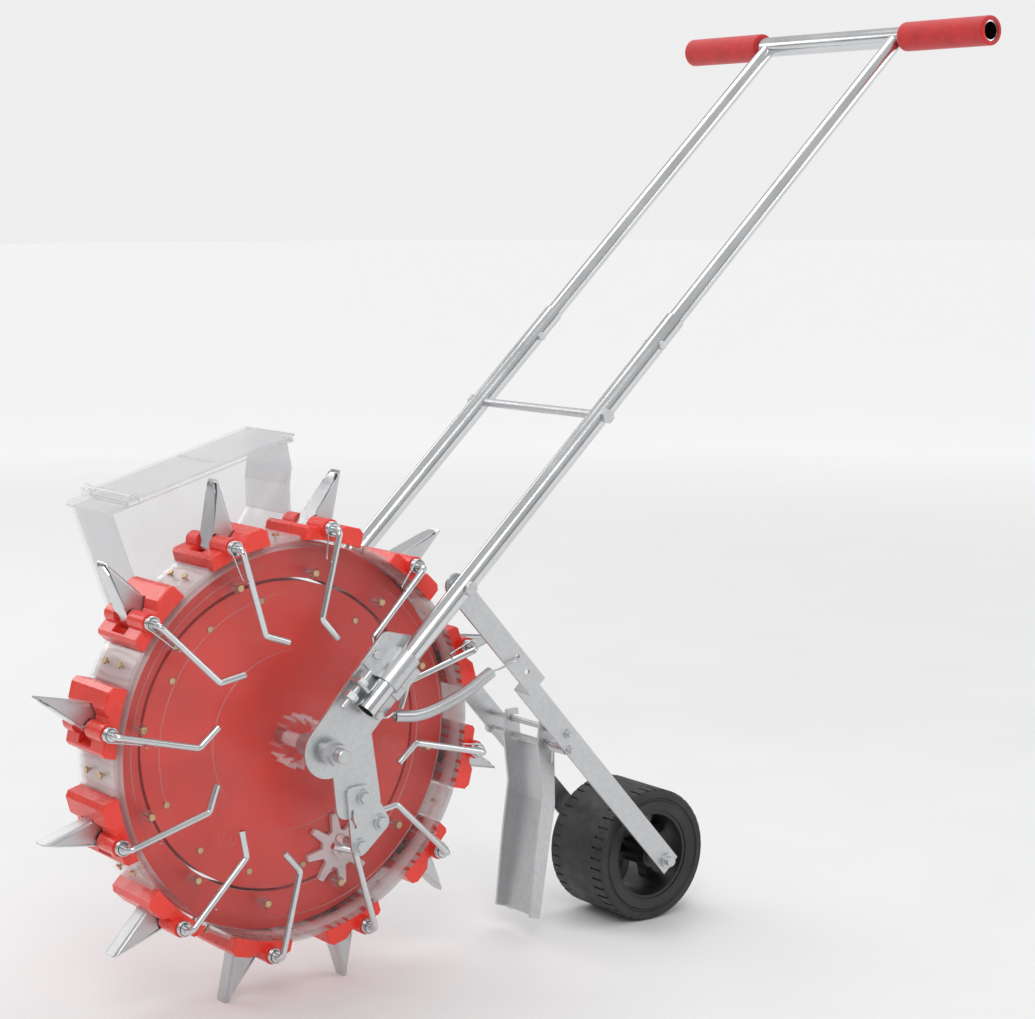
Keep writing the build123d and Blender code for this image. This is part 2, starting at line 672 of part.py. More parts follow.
with BuildPart() as near_rim:
    with BuildSketch(section()):
        with BuildLine():
            Polyline((COVER_R, -HALF_WIDTH), (RIM_R, -HALF_WIDTH), (RIM_R, 0), (RIM_R - 2, 0),
                     (RIM_R - 2, -HALF_WIDTH + 2), (COVER_R + 2, -HALF_WIDTH + 2), (COVER_R + 2, WEB_BACK),
                     (COVER_R, WEB_BACK), close=True)
        make_face()
    revolve(axis=turning_axis())
    for cut in rim_cuts:
        add(cut, mode=Mode.SUBTRACT)
save(near_rim.part, "near_rim")

with BuildPart() as far_cover:
    with BuildSketch(section()):
        with BuildLine():
            Polyline((153, 33.5), (RIM_R - 2, 33.5), (RIM_R - 2, 0.1), (RIM_R, 0.1), (RIM_R, HALF_WIDTH),
                     (RIM_R - 3, HALF_WIDTH), (RIM_R - 3, 36), (153, 36), close=True)
        make_face()
    revolve(axis=turning_axis())
    for cut in rim_cuts:
        add(cut, mode=Mode.SUBTRACT)
save(far_cover.part, "far_cover")

FUNNEL_OUT = 189.8
FUNNEL_IN = 153.0
with BuildPart() as funnel_pocket:
    with BuildSketch(side(29)):
        with BuildLine():
            Polyline((FUNNEL_IN - 6, -34), (FUNNEL_OUT + 2, -8), (FUNNEL_OUT + 2, 12),
                     (FUNNEL_IN - 6, 36), close=True)
        make_face()
    extrude(amount=27)
with BuildPart() as funnel_ring:
    with BuildSketch(side(33.4)):
        Circle(FUNNEL_OUT)
        Circle(FUNNEL_IN, mode=Mode.SUBTRACT)
    extrude(amount=33.4 - DRUM_NEAR)
    add(round_wheel(funnel_pocket.part), mode=Mode.SUBTRACT)
save(funnel_ring.part, "funnel_ring")

with BuildPart() as drive_posts:
    with BuildSketch(side(POST_END)):
        with PolarLocations(POST_R, SPOUTS, start_angle=POST_PHASE):
            Circle(POST_OUT)
            Circle(1.6 + SNUG, mode=Mode.SUBTRACT)
    extrude(amount=POST_END - WEB_BACK)
save(drive_posts.part, "drive_posts")

with BuildPart() as post_screws:
    for k in range(SPOUTS):
        spot = polar(POST_R, POST_PHASE - HANDLE_ANGLE - PITCH * k)
        add(screw(WEB_NEAR, WEB_BACK + 12, [spot], head_r=3.4, head_h=2.0, shank_r=1.6))
save(post_screws.part, "post_screws")

# --- one duckbill, drawn along +X and repeated round the rim -------------------------------------
BLOCK_LOW_T = -24.0
BLOCK_HIGH_T = 40.0
BLOCK_TRAY_R = 203.0
BLOCK_TOP_R = 210.0
BOSS_R = 9.0
SHAFT_OUT = 5.5          # flap pivot tube
RECESS_Y = 12.5
back_slope = (JAW_TIP_T - JAW_BASE_T) / (TIP_R - JAW_BASE_R)

with BuildPart() as block:
    with BuildSketch(side(HALF_WIDTH)):
        with BuildLine():
            Polyline((185, BLOCK_LOW_T), (BLOCK_TOP_R - 4, BLOCK_LOW_T), (BLOCK_TOP_R, BLOCK_LOW_T + 5),
                     (BLOCK_TOP_R, -3), (BLOCK_TRAY_R + 1.5, 4), (BLOCK_TRAY_R, BLOCK_HIGH_T - 3),
                     (BLOCK_TRAY_R - 3, BLOCK_HIGH_T), (185, BLOCK_HIGH_T), close=True)
        make_face()
        Circle(RIM_R, mode=Mode.SUBTRACT)
    extrude(amount=2 * HALF_WIDTH)
    fillet(block.faces().filter_by(Axis.Y).edges().filter_by(GeomType.LINE), radius=1.5)
    for boss_y, boss_length in ((32, 19), (-13, 30)):
        with BuildSketch(side(boss_y)):
            with Locations((PIVOT_R, PIVOT_T)):
                Circle(BOSS_R)
        extrude(amount=boss_length)
    with BuildSketch(side(RECESS_Y)):
        with BuildLine():
            Polyline((JAW_BASE_R, JAW_BASE_T), (JAW_BASE_R + 30, JAW_BASE_T + 30 * back_slope),
                     (JAW_BASE_R + 30, 36), (204, 36), (JAW_BASE_R, 30), close=True)
        make_face()
    extrude(amount=2 * RECESS_Y, mode=Mode.SUBTRACT)
    with BuildSketch(side(8)):
        with Locations((193, 3.5)):
            Rectangle(10, 18)
    extrude(amount=16, mode=Mode.SUBTRACT)
    with BuildSketch(side(HALF_WIDTH + 10)):
        with Locations((PIVOT_R, PIVOT_T)):
            Circle(SHAFT_OUT + FIT)
    extrude(amount=2 * HALF_WIDTH + 20, mode=Mode.SUBTRACT)
with BuildPart() as duckbill_bases:
    add(round_wheel(block.part))
save(duckbill_bases.part, "duckbill_bases")

# The flap plate lies on the outer side of its pivot tube and slopes in to the tip.
FLAP_SLOPE = 22.5
FLAP_IN = 4.2            # pivot to the flap's inner face
FLAP_T = 1.5
FLAP_GAP = 0.35
TIP_ROUND = 8.0
slope_cos = cos(radians(FLAP_SLOPE))
slope_sin = sin(radians(FLAP_SLOPE))


def flap_point(along, off):
    """Point in the flap's own slope: along it from the pivot, off towards its outer face."""
    return (PIVOT_R + along * slope_cos + off * slope_sin, PIVOT_T - along * slope_sin + off * slope_cos)


with BuildPart() as jaw:
    with BuildSketch(side(JAW_HALF)):
        with BuildLine():
            Polyline((JAW_BASE_R, JAW_BASE_T), (TIP_R, JAW_TIP_T), (TIP_R, JAW_TIP_T + JAW_WALL),
                     flap_point(51, FLAP_IN - FLAP_GAP), flap_point(10, FLAP_IN - FLAP_GAP),
                     (209, 9), (JAW_BASE_R, 9), close=True)
        make_face()
    extrude(amount=2 * JAW_HALF)
    fillet(jaw.edges().filter_by(lambda e: abs(e.center().Z - AXLE_Z + 4) < 1.2 and e.length > 60), radius=4)
    with BuildSketch(side(JAW_HALF - JAW_WALL)):
        with BuildLine():
            Polyline((JAW_BASE_R - 2, JAW_BASE_T + JAW_WALL - 2 * back_slope),
                     (TIP_R + 2, JAW_TIP_T + JAW_WALL + 2 * back_slope),
                     (TIP_R + 2, 40), (JAW_BASE_R - 2, 40), close=True)
        make_face()
    extrude(amount=2 * (JAW_HALF - JAW_WALL), mode=Mode.SUBTRACT)
    with BuildSketch(Plane(origin=at(TIP_R - TIP_ROUND, 0, -20), z_dir=(0, 0, 1))):
        with Locations((10, 0)):
            Rectangle(20, 40)
        Circle(JAW_HALF, mode=Mode.SUBTRACT)
    extrude(amount=40, mode=Mode.SUBTRACT)
with BuildPart() as fixed_jaws:
    add(round_wheel(jaw.part))
save(fixed_jaws.part, "fixed_jaws")

LEVER_Y = -59.5
LEVER_R = 3.25
TUBE_NEAR = -50.0
TUBE_FAR = 33.0
FLAP_LENGTH = 56.0
LEVER_ELBOW = (119.0, 16.8)
LEVER_TIP = (103.7, -4.8)
with BuildPart() as flap:
    with BuildSketch(side(11.5)):
        with BuildLine():
            Polyline(flap_point(-7, FLAP_IN), flap_point(FLAP_LENGTH, FLAP_IN),
                     flap_point(FLAP_LENGTH, FLAP_IN + FLAP_T), flap_point(-7, FLAP_IN + FLAP_T), close=True)
        make_face()
    extrude(amount=23)
    with BuildSketch(Plane(origin=at(PIVOT_R, 0, -20), z_dir=(0, 0, 1))):
        with BuildLine():
            Polyline((-20, 11.5), (12, 11.5), (46, 8.5), (55, 3), (55, -3), (46, -8.5),
                     (12, -11.5), (-20, -11.5), close=True)
        make_face()
    extrude(amount=60, mode=Mode.INTERSECT)
    with BuildSketch(side(TUBE_FAR)):
        with Locations((PIVOT_R, PIVOT_T)):
            Circle(SHAFT_OUT)
    extrude(amount=TUBE_FAR - TUBE_NEAR)
    with BuildLine():
        FilletPolyline(at(PIVOT_R, TUBE_NEAR + 2, PIVOT_T), at(PIVOT_R, LEVER_Y, PIVOT_T),
                       at(LEVER_ELBOW[0], LEVER_Y, LEVER_ELBOW[1]),
                       at(LEVER_TIP[0], LEVER_Y, LEVER_TIP[1]), radius=5)
    with BuildSketch(side(TUBE_NEAR + 2)):
        with Locations((PIVOT_R, PIVOT_T)):
            Circle(LEVER_R)
    sweep()
for k in range(SPOUTS):
    save(flap.part.rotate(WHEEL_AXIS, PHASE - PITCH * k), f"flap_{k + 1:02d}")

# A coil round the pivot tube, with a leg that runs along the lever and hooks over it.
COIL_R = 6.9
COIL_WIRE = 0.8
COIL_START = -43.8
LEG_END = 174.0
leg_t = PIVOT_T + LEVER_R + COIL_WIRE + 0.35
with BuildPart() as lever_spring:
    with BuildSketch(section(PIVOT_R, PIVOT_T)):
        with Locations(*[(COIL_R, COIL_START - 1.5 * turn) for turn in range(4)]):
            Circle(COIL_WIRE)
    revolve(axis=turning_axis(PIVOT_R, PIVOT_T))
    with BuildLine():
        FilletPolyline(at(PIVOT_R + 1, -48.8, PIVOT_T + COIL_R), at(PIVOT_R - 6, -50, leg_t + 1.5),
                       at(LEG_END, -53, leg_t), at(LEG_END, -63.5, leg_t), radius=2)
    with BuildSketch(Plane(origin=at(PIVOT_R + 1, -48.8, PIVOT_T + COIL_R), z_dir=(-1, 0, 0))):
        Circle(COIL_WIRE)
    sweep()
with BuildPart() as lever_springs:
    add(round_wheel(lever_spring.part))
save(lever_springs.part, "lever_springs")

SPACER_T = 3.5
with BuildPart() as rim_spacer:
    with BuildSketch(side(34)):
        Circle(RIM_R + SPACER_T)
        Circle(RIM_R, mode=Mode.SUBTRACT)
        with Locations((RIM_R, 0)):
            Rectangle(20, 33, mode=Mode.INTERSECT)
    extrude(amount=68)
    fillet(rim_spacer.edges().filter_by(Axis.X), radius=2)
    for screw_y in (-RIM_SCREW_Y, RIM_SCREW_Y):
        with BuildSketch(Plane(origin=(AXLE_X + RIM_R - 2, screw_y, AXLE_Z), z_dir=(1, 0, 0))):
            Circle(RIM_SCREW_R + SNUG)
        extrude(amount=10, mode=Mode.SUBTRACT)
with BuildPart() as rim_spacers:
    add(round_wheel(rim_spacer.part, PHASE + SPACER_ANGLE))
save(rim_spacers.part, "rim_spacers")

with BuildPart() as rim_screw:
    for screw_y in (-RIM_SCREW_Y, RIM_SCREW_Y):
        with BuildSketch(Plane(origin=(AXLE_X + RIM_R - 2.8, screw_y, AXLE_Z), z_dir=(1, 0, 0))):
            Circle(RIM_SCREW_R)
        extrude(amount=SPACER_T + 2.8)
        with BuildSketch(Plane(origin=(AXLE_X + RIM_R + SPACER_T, screw_y, AXLE_Z), z_dir=(1, 0, 0))):
            Circle(3.4)
        extrude(amount=1.8)
with BuildPart() as rim_screws:
    add(round_wheel(rim_screw.part, PHASE + SPACER_ANGLE))
save(rim_screws.part, "rim_screws")

# --- rear arm, press roller and coverer ---------------------------------------------------------
ARM_CRANK = ARM_OUT_Y - ARM_LOW_Y
ROLLER_AXLE_R = 5.0
PIN_R = 3.0
PIN_END = 73.0
STOP_PIN = (300.7, -27.7)
HINGE_PIN = (302.9, -45.3)
HOOK_U = 106.5
HOOK_V = 2.6
HOOK_R = 3.0
SPARE_U = 127.0


def along_arm(point):
    """Side-view point about the axle, restated along and across the rear arm."""
    a = radians(ARM_ANGLE)
    x = point[0] - ARM_X
    z = point[1] - ARM_Z
    return (x * cos(a) + z * sin(a), z * cos(a) - x * sin(a))


arm_cos = cos(radians(ARM_ANGLE))
arm_sin = sin(radians(ARM_ANGLE))
with BuildPart() as rear_arm_left:
    with BuildSketch(Plane(origin=(AXLE_X + ARM_X, 0, AXLE_Z + ARM_Z), x_dir=(arm_cos, 0, arm_sin),
                           z_dir=(-arm_sin, 0, arm_cos))) as strip:
        with BuildLine():
            Polyline((-13, -ARM_OUT_Y), (ARM_STEP_U, -ARM_OUT_Y), (ARM_STEP_U, -ARM_LOW_Y),
                     (ARM_LENGTH + 9, -ARM_LOW_Y), (ARM_LENGTH + 9, ARM_T - ARM_LOW_Y),
                     (ARM_STEP_U - ARM_T, ARM_T - ARM_LOW_Y), (ARM_STEP_U - ARM_T, ARM_T - ARM_OUT_Y),
                     (-13, ARM_T - ARM_OUT_Y), close=True)
        make_face()
    extrude(amount=ARM_WIDTH / 2, both=True)
    with BuildSketch(arm_side(0)):
        Circle(ARM_WIDTH / 2)
        with Locations(((ARM_LENGTH + 9) / 2, 0)):
            Rectangle(ARM_LENGTH + 9, ARM_WIDTH)
    extrude(amount=ARM_OUT_Y + 5, mode=Mode.INTERSECT)
    with BuildSketch(arm_side(0)):
        Circle(PIVOT_BOLT_R + FIT)
        with Locations((HOOK_U, HOOK_V)):
            Circle(HOOK_R)
        with Locations((SPARE_U, 1)):
            Circle(HOOK_R)
        with Locations(along_arm(STOP_PIN), along_arm(HINGE_PIN)):
            Circle(PIN_R + SNUG)
        with Locations((ARM_LENGTH, 0)):
            Circle(ROLLER_AXLE_R + SNUG)
    extrude(amount=ARM_OUT_Y + 5, mode=Mode.SUBTRACT)
save(rear_arm_left.part, "rear_arm_left")
save(mirror(rear_arm_left.part, about=Plane.XZ), "rear_arm_right")

with BuildPart() as arm_pins:
    for pin in (STOP_PIN, HINGE_PIN):
        with BuildSketch(side(PIN_END)):
            with Locations(pin):
                Circle(PIN_R)
        extrude(amount=2 * PIN_END)
        with BuildSketch(side(ARM_LOW_Y + 5)):
            with Locations(pin):
                Circle(6)
        extrude(amount=5)
        with BuildSketch(side(-ARM_LOW_Y)):
            with Locations(pin):
                Circle(5)
        extrude(amount=2)
save(arm_pins.part, "arm_pins")

ROLLER_AXLE_END = 76.0
with BuildPart() as roller_axle:
    with BuildSketch(side(ROLLER_AXLE_END, 0, ROLLER_X, ROLLER_Z)):
        Circle(ROLLER_AXLE_R)
    extrude(amount=2 * ROLLER_AXLE_END)
    for collar_y in (ARM_LOW_Y - ARM_T, -ROLLER_HALF - 0.4):
        with BuildSketch(side(collar_y, 0, ROLLER_X, ROLLER_Z)):
            Circle(8)
        extrude(amount=ARM_LOW_Y - ARM_T - ROLLER_HALF - 0.4)
    for clip_y in (ARM_LOW_Y + 3, -ARM_LOW_Y):
        with BuildSketch(side(clip_y, 0, ROLLER_X, ROLLER_Z)):
            Circle(8)
        extrude(amount=3)
save(roller_axle.part, "roller_axle")

PLATE_Y = 31.0
COVER_T = 3.0
cover_front = [(293, -18), (290, -45), (296, -95), (288, -150), (280, -226)]
cover_back = [(292, -230), (300, -180), (312, -110), (311, -62), (311, -45), (308, -18)]
pin_gap = hypot(STOP_PIN[0] - HINGE_PIN[0], STOP_PIN[1] - HINGE_PIN[1])
pin_angle = degrees(atan2(STOP_PIN[1] - HINGE_PIN[1], STOP_PIN[0] - HINGE_PIN[0]))
COVER_SWING = 20.0
with BuildPart() as coverer:
    with BuildSketch(side(PLATE_Y)):
        with BuildLine():
            Polyline(*cover_front, *cover_back, close=True)
        make_face()
    extrude(amount=2 * PLATE_Y)
    with BuildSketch(side(PLATE_Y - COVER_T)):
        with BuildLine():
            Polyline((270, 0), (270, -240), (289, -240), (288.5, -227), (297, -180), (309, -110), (308, -60),
                     (308.3, -52), (320, -52), (320, 0), close=True)
        make_face()
    extrude(amount=2 * (PLATE_Y - COVER_T), mode=Mode.SUBTRACT)
    with BuildSketch(Plane(origin=(AXLE_X + 250, 0, 0), z_dir=(1, 0, 0))):
        with Locations((0, 24)):
            Circle(25)
            with Locations((0, -20)):
                Rectangle(50, 40)
    extrude(amount=80, mode=Mode.SUBTRACT)
    with BuildSketch(side(PLATE_Y + 1)):
        with Locations(HINGE_PIN):
            Circle(PIN_R + FIT)
        with BuildLine(mode=Mode.PRIVATE) as stop_line:
            CenterArc(HINGE_PIN, pin_gap, pin_angle - COVER_SWING - 1, COVER_SWING + 2)
        SlotArc(arc=stop_line.edge(), height=2 * PIN_R + 0.7)
    extrude(amount=2 * PLATE_Y + 2, mode=Mode.SUBTRACT)
save(coverer.part, "coverer")

SPRING_TURNS = 9
SPRING_WIRE = 1.4
SPRING_FIRST = -60.5
coil_r = PIN_R + SPRING_WIRE + 0.1
with BuildPart() as coverer_spring:
    with BuildSketch(section(*HINGE_PIN)):
        with Locations(*[(coil_r, SPRING_FIRST + 1.9 * SPRING_WIRE * turn) for turn in range(SPRING_TURNS)]):
            Circle(SPRING_WIRE)
    revolve(axis=turning_axis(*HINGE_PIN))
    with BuildLine():
        spring_leg = FilletPolyline(
            (AXLE_X + HINGE_PIN[0] + coil_r, SPRING_FIRST, AXLE_Z + HINGE_PIN[1]),
            (AXLE_X + HINGE_PIN[0] + coil_r, SPRING_FIRST, AXLE_Z + HINGE_PIN[1] - 26),
            (AXLE_X + HINGE_PIN[0] + coil_r, -PLATE_Y - 2, AXLE_Z + HINGE_PIN[1] - 34), radius=3)
    with BuildSketch(Plane(origin=spring_leg @ 0, z_dir=(0, 0, -1))):
        Circle(SPRING_WIRE)
    sweep()
save(coverer_spring.part, "coverer_spring")

TYRE_IN = 48.0
RIM_IN = 44.0
HUB_R = 13.0
WEB_HALF = 7.0
GROOVES = 40
with BuildPart() as roller_tyre:
    with BuildSketch(section(ROLLER_X, ROLLER_Z)):
        with BuildLine():
            Polyline((TYRE_IN, -ROLLER_HALF + 2), (58, -ROLLER_HALF), (59, -ROLLER_HALF + 1.5),
                     (61, -ROLLER_HALF + 1.5), (62, -ROLLER_HALF), (68, -ROLLER_HALF),
                     (ROLLER_R, -ROLLER_HALF + 3), (ROLLER_R, 0), (TYRE_IN, 0), close=True)
        make_face()
        mirror(about=Plane.XZ)
    revolve(axis=turning_axis(ROLLER_X, ROLLER_Z))
    for groove_y in (ROLLER_HALF, -ROLLER_HALF + 17):
        with BuildSketch(side(groove_y, 0, ROLLER_X, ROLLER_Z)):
            with PolarLocations(ROLLER_R, GROOVES, start_angle=-90 + 180 / GROOVES):
                Rectangle(3, 2.4)
        extrude(amount=17, mode=Mode.SUBTRACT)
save(roller_tyre.part, "roller_tyre")

with BuildPart() as roller_rim:
    with BuildSketch(side(WEB_HALF, 0, ROLLER_X, ROLLER_Z)):
        with PolarLocations(0, 5, start_angle=20):
            with BuildLine(mode=Mode.PRIVATE) as spoke_line:
                ThreePointArc((HUB_R - 2, 0), (30, 6), (RIM_IN - 1, 0))
            SlotArc(arc=spoke_line.edge(), height=9)
        Circle(HUB_R)
        Circle(ROLLER_AXLE_R + FIT, mode=Mode.SUBTRACT)
    extrude(amount=2 * WEB_HALF)
    with BuildSketch(section(ROLLER_X, ROLLER_Z)):
        with Locations(((RIM_IN + TYRE_IN) / 2, 0)):
            Rectangle(TYRE_IN - RIM_IN, 2 * ROLLER_HALF - 6)
        with Locations(((ROLLER_AXLE_R + FIT + HUB_R) / 2, 0)):
            Rectangle(HUB_R - ROLLER_AXLE_R - FIT, 2 * ROLLER_HALF)
    revolve(axis=turning_axis(ROLLER_X, ROLLER_Z))
save(roller_rim.part, "roller_rim")

# --- extension spring between the side plate's screw and the rear arm ------------------------------
COIL_Y = -98.0
BODY_R = 6.0
HOOK_WIRE = 1.1
HOOK_Y = -93.0
hook_r = SCREW_R + HOOK_WIRE + 0.15
screw_x = SPRING_SCREW[0] * HANDLE_COS - SPRING_SCREW[1] * HANDLE_SIN
screw_z = SPRING_SCREW[0] * HANDLE_SIN + SPRING_SCREW[1] * HANDLE_COS
hole_x = ARM_X + HOOK_U * arm_cos - HOOK_V * arm_sin
hole_z = ARM_Z + HOOK_U * arm_sin + HOOK_V * arm_cos
with BuildPart() as tension_spring:
    with BuildLine():
        body_line = Spline((AXLE_X + 70, COIL_Y, AXLE_Z + 26), (AXLE_X + 96, COIL_Y, AXLE_Z + 23.5),
                           (AXLE_X + 124, COIL_Y, AXLE_Z + 29), (AXLE_X + 154, COIL_Y + 1, AXLE_Z + 39.5),
                           (AXLE_X + 184, COIL_Y + 2, AXLE_Z + 55))
    with BuildSketch(Plane(origin=body_line @ 0, z_dir=body_line % 0)):
        Circle(BODY_R)
    sweep()
    with BuildSketch(section(screw_x, screw_z)):
        with Locations((hook_r, HOOK_Y)):
            Circle(HOOK_WIRE)
    revolve(axis=turning_axis(screw_x, screw_z))
    with BuildLine():
        near_hook = Line(body_line @ 0.02, (AXLE_X + screw_x + hook_r, HOOK_Y, AXLE_Z + screw_z))
    with BuildSketch(Plane(origin=near_hook @ 0, z_dir=near_hook % 0)):
        Circle(HOOK_WIRE)
    sweep()
    with BuildLine():
        far_hook = Spline(body_line @ 0.98, (AXLE_X + 198, COIL_Y + 2, AXLE_Z + 61),
                          (AXLE_X + 212, COIL_Y + 3, AXLE_Z + 65), (AXLE_X + hole_x, -92, AXLE_Z + hole_z),
                          (AXLE_X + hole_x, -85, AXLE_Z + hole_z))
    with BuildSketch(Plane(origin=far_hook @ 0, z_dir=far_hook % 0)):
        Circle(HOOK_WIRE)
    sweep()
save(tension_spring.part, "tension_spring")
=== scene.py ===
"""Looks for the push seeder: procedural materials and wound springs over the CAD frame."""
import math

import bpy
import numpy as np
from mathutils import Matrix, Vector
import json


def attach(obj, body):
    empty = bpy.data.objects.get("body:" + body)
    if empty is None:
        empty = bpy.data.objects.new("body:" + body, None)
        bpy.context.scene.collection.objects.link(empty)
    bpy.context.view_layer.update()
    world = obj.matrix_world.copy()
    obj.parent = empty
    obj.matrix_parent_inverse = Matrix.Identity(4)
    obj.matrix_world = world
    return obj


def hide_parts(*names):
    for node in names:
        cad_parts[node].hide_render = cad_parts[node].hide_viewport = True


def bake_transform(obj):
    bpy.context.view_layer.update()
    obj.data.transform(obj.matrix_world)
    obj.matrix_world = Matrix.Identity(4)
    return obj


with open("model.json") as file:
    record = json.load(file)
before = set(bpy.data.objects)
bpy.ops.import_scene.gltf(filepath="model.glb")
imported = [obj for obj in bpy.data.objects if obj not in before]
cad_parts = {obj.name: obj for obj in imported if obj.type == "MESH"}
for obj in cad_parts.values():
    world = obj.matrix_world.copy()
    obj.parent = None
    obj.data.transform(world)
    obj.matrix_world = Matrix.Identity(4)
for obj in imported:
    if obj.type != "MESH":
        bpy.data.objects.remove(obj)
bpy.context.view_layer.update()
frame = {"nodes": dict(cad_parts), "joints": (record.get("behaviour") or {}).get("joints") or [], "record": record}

MM = 0.001
SPOUTS = 12
NEAR = Vector((0, -1, 0))


joint_at = {j["name"]: Vector(j["pos_m"]) for j in frame["joints"] if "pos_m" in j}
AXLE = joint_at["wheel_spin"]
HANDLE = Vector(next(j["axis"] for j in frame["joints"] if j["name"] == "handle_slide"))


# --- materials ------------------------------------------------------------------------------
def link(tree, source, target):
    tree.links.new(source, target)


def node(tree, kind, **values):
    made = tree.nodes.new(kind)
    for key, value in values.items():
        if key in made.inputs:
            made.inputs[key].default_value = value
        else:
            setattr(made, key, value)
    return made


def ramp(tree, source, stops):
    made = tree.nodes.new("ShaderNodeValToRGB")
    band = made.color_ramp
    while len(band.elements) < len(stops):
        band.elements.new(0.5)
    for element, (place, colour) in zip(band.elements, stops):
        element.position = place
        element.color = (*colour, 1)
    link(tree, source, made.inputs["Fac"])
    return made.outputs["Color"]


def spread(tree, source, out_low, out_high, in_low=0.3, in_high=0.7):
    made = node(tree, "ShaderNodeMapRange")
    made.inputs["From Min"].default_value = in_low
    made.inputs["From Max"].default_value = in_high
    made.inputs["To Min"].default_value = out_low
    made.inputs["To Max"].default_value = out_high
    link(tree, source, made.inputs["Value"])
    return made.outputs["Result"]


class Surface:
    """A Principled material that the functions below add patterns to."""

    def __init__(self, name, edge=0.35 * MM, **sockets):
        self.material = bpy.data.materials.new(name)
        self.material.use_nodes = True
        self.tree = self.material.node_tree
        self.bsdf = self.tree.nodes["Principled BSDF"]
        for key, value in sockets.items():
            self.bsdf.inputs[key.replace("_", " ")].default_value = value
        self.place = node(self.tree, "ShaderNodeTexCoord").outputs["Object"]
        self.normal = None
        if edge:
            self.normal = node(self.tree, "ShaderNodeBevel", samples=4, Radius=edge).outputs["Normal"]
            link(self.tree, self.normal, self.bsdf.inputs["Normal"])

    def noise(self, scale, detail=4.0, stretch=None, roughness=0.55):
        place = self.place
        if stretch:
            mapped = node(self.tree, "ShaderNodeMapping")
            mapped.inputs["Scale"].default_value = stretch
            link(self.tree, place, mapped.inputs["Vector"])
            place = mapped.outputs["Vector"]
        made = node(self.tree, "ShaderNodeTexNoise", Scale=scale, Detail=detail, Roughness=roughness)
        link(self.tree, place, made.inputs["Vector"])
        return made.outputs["Fac"]

    def spangle(self, scale):
        made = node(self.tree, "ShaderNodeTexVoronoi", Scale=scale)
        link(self.tree, self.place, made.inputs["Vector"])
        split = node(self.tree, "ShaderNodeSeparateColor")
        link(self.tree, made.outputs["Color"], split.inputs["Color"])
        return split.outputs["Red"]

    def colour(self, source, stops):
        link(self.tree, ramp(self.tree, source, stops), self.bsdf.inputs["Base Color"])

    def rough(self, source, out_low, out_high, in_low=0.3, in_high=0.7):
        link(self.tree, spread(self.tree, source, out_low, out_high, in_low, in_high),
             self.bsdf.inputs["Roughness"])

    def bump(self, height, strength, distance):
        made = node(self.tree, "ShaderNodeBump", Strength=strength, Distance=distance)
        link(self.tree, height, made.inputs["Height"])
        if self.normal:
            link(self.tree, self.normal, made.inputs["Normal"])
        self.normal = made.outputs["Normal"]
        link(self.tree, self.normal, self.bsdf.inputs["Normal"])


def shades(colour, *factors):
    """Evenly spaced stops of one colour, each made lighter or darker by a factor."""
    step = 1 / (len(factors) - 1)
    return [(0.25 + 0.5 * i * step, tuple(min(1, c * f) for c in colour)) for i, f in enumerate(factors)]


def metal(name, colour, rough_range, spangle=0, streak=None, bump=0.12, edge=0.4 * MM):
    made = Surface(name, edge=edge, Metallic=1.0)
    broad = made.noise(22, 5)
    if spangle:
        made.colour(made.spangle(spangle), shades(colour, 0.97, 1.0, 1.03))
    else:
        made.colour(broad, shades(colour, 0.92, 1.0, 1.04))
    made.rough(broad, *rough_range)
    made.bump(made.noise(900 if not streak else 260, 3, stretch=streak), bump, 0.12 * MM)
    return made.material


def red_plastic(name, colour, rough, rings=False):
    made = Surface(name, edge=0.5 * MM, Subsurface_Weight=0.08, Subsurface_Scale=3 * MM, Coat_Weight=0.15,
                   Coat_Roughness=0.08)
    made.bsdf.inputs["Subsurface Radius"].default_value = (1.0, 0.12, 0.08)
    made.colour(made.noise(14, 4), shades(colour, 0.86, 1.0, 1.1))
    made.rough(made.noise(60, 5), rough, rough + 0.14)
    made.bump(made.noise(420, 2), 0.08, 0.1 * MM)
    if rings:
        made.bump(radial_waves(made), 0.3, 0.35 * MM)
    return made.material


def radial_waves(made):
    """Faint turned rings about the wheel axle."""
    moved = node(made.tree, "ShaderNodeMapping")
    moved.inputs["Location"].default_value = -AXLE
    link(made.tree, made.place, moved.inputs["Vector"])
    wave = node(made.tree, "ShaderNodeTexWave", wave_type="RINGS", rings_direction="Y", Scale=14.0,
                Distortion=0.6)
    wave.inputs["Detail"].default_value = 2.0
    link(made.tree, moved.outputs["Vector"], wave.inputs["Vector"])
    return wave.outputs["Fac"]


def clear_plastic(name, colour, body, edge_on, rough=0.05, ripple=0.25):
    """See-through plastic: thin and faint face on, denser and glossier at a glancing angle."""
    made = Surface(name, edge=0.5 * MM, IOR=1.6, Specular_IOR_Level=1.0, Coat_Weight=1.0, Coat_IOR=1.8,
                   Coat_Roughness=0.03)
    made.colour(made.noise(9, 3), shades(colour, 0.95, 1.0, 1.03))
    made.rough(made.noise(40, 5), rough, rough + 0.1)
    fresnel = node(made.tree, "ShaderNodeFresnel", IOR=1.35)
    link(made.tree, spread(made.tree, fresnel.outputs["Fac"], body, edge_on, 0.02, 0.55),
         made.bsdf.inputs["Alpha"])
    made.bump(made.noise(26, 2), ripple, 1.2 * MM)
    return made.material


